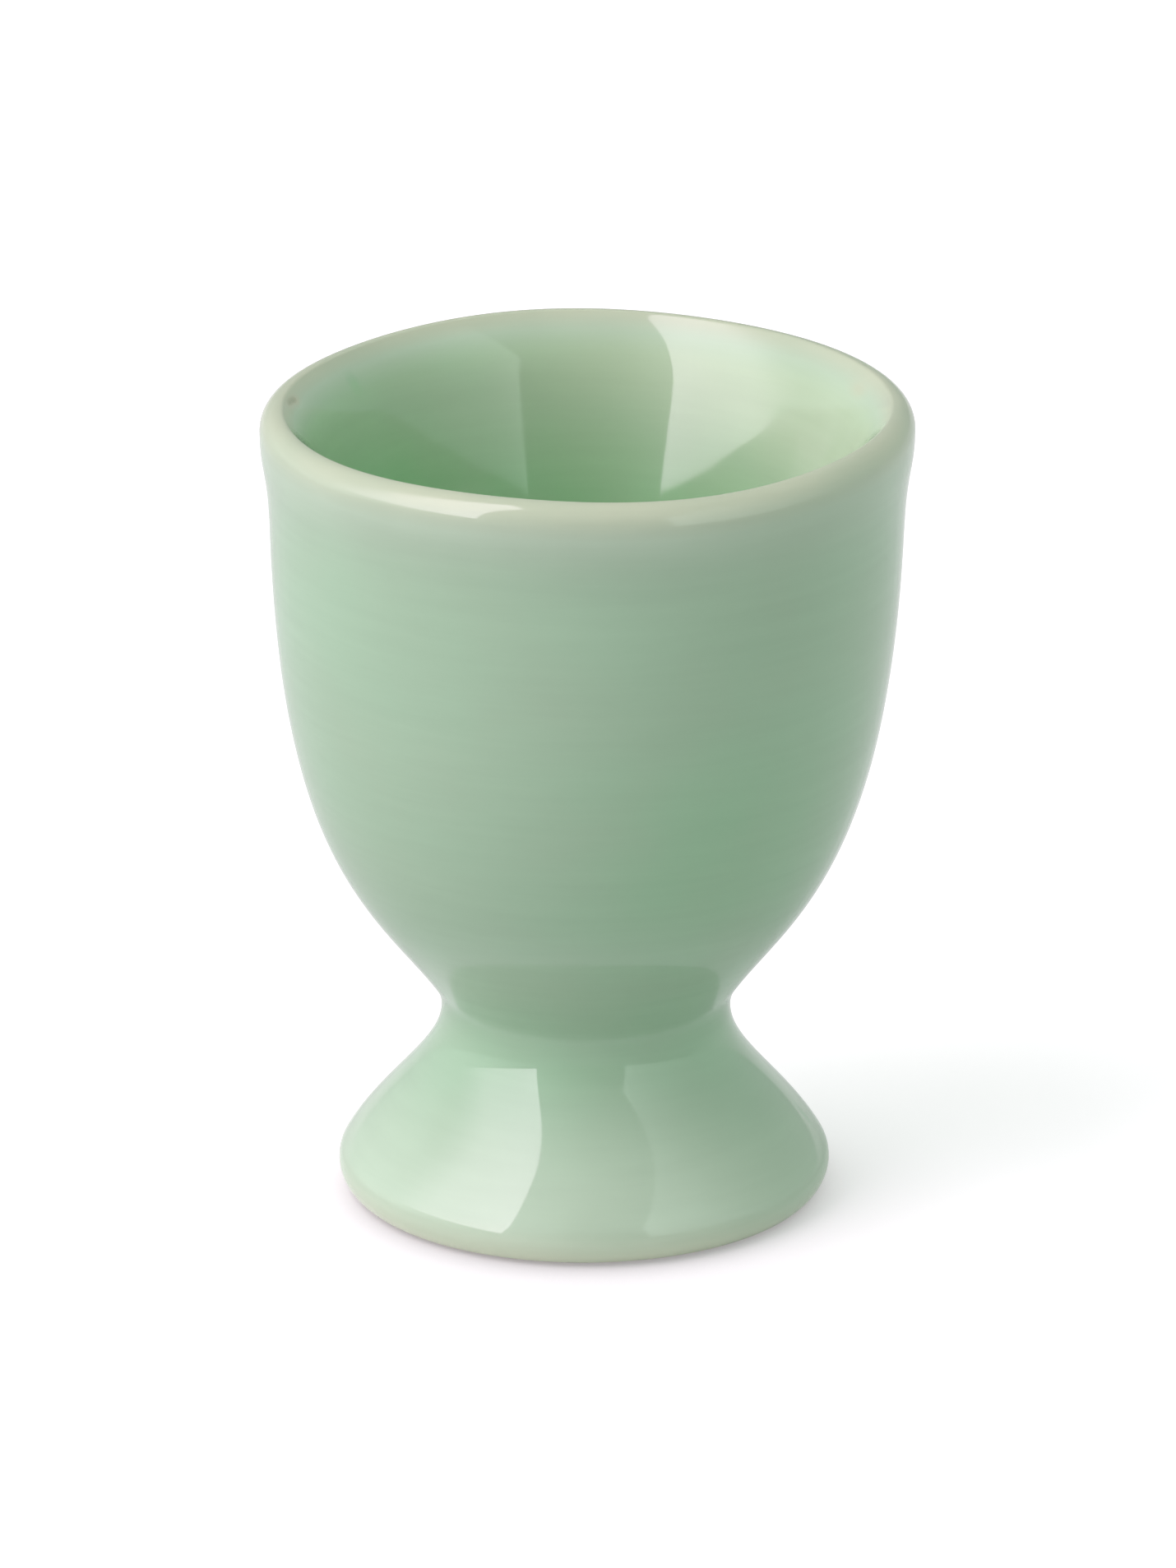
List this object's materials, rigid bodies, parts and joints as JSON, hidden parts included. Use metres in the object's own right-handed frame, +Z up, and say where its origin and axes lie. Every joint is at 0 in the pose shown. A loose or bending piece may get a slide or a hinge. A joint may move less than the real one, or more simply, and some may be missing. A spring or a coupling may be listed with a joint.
{
  "type": "egg cup",
  "caption": "Footed egg cup of glazed stoneware: a deep bowl with a tapered well for a boiled egg, a narrow waist and a flared hollow foot.",
  "frame": {"origin": "on the table, in the middle of the foot ring", "axes": "+Z up along the axis that the cup was turned about; +X and +Y are any two level directions, with -Y towards the viewer of the picture"},
  "size_m": [0.05, 0.05, 0.0635],
  "materials": {
    "stoneware": "bare fired clay, matt",
    "slip": "bare fired slip, matt",
    "celadon_glaze": "glossy translucent green glaze"
  },
  "bodies": {
    "root": {"bowl": "stoneware", "foot": "stoneware", "joint_slip": "slip", "outer_glaze": "celadon_glaze", "liner_glaze": "celadon_glaze", "underside_glaze": "celadon_glaze"}
  },
  "joints": []
}
